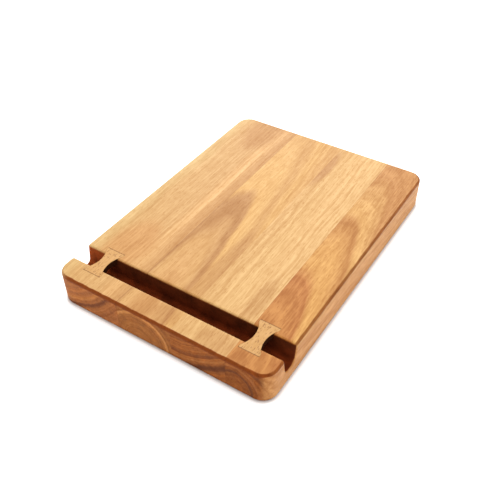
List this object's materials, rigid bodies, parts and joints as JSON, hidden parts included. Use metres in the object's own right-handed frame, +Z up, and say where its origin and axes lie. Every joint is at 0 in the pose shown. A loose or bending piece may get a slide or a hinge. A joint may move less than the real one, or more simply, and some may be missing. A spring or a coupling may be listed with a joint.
{
  "type": "tablet stand",
  "caption": "Thick wooden board with a cross slot behind a front rail that holds a tablet upright, bridged near each end by a bow-tie key.",
  "frame": {"origin": "middle of the underside, on the surface the board lies on", "axes": "+Y from the front rail to the back, along the wood's grain; +X to the right seen from the front; +Z up"},
  "size_m": [0.254, 0.356, 0.038],
  "materials": {
    "light_stave_wood": "oiled, satin, golden tan long grain with red-brown end grain",
    "dark_stave_wood": "oiled, satin, orange-brown long grain with red-brown end grain",
    "key_wood": "oiled, satin, pale fine-pored long grain"
  },
  "bodies": {
    "root": {"left_stave": "light_stave_wood", "centre_left_stave": "light_stave_wood", "centre_right_stave": "light_stave_wood", "right_stave": "dark_stave_wood", "left_key": "key_wood", "right_key": "key_wood"}
  },
  "joints": []
}
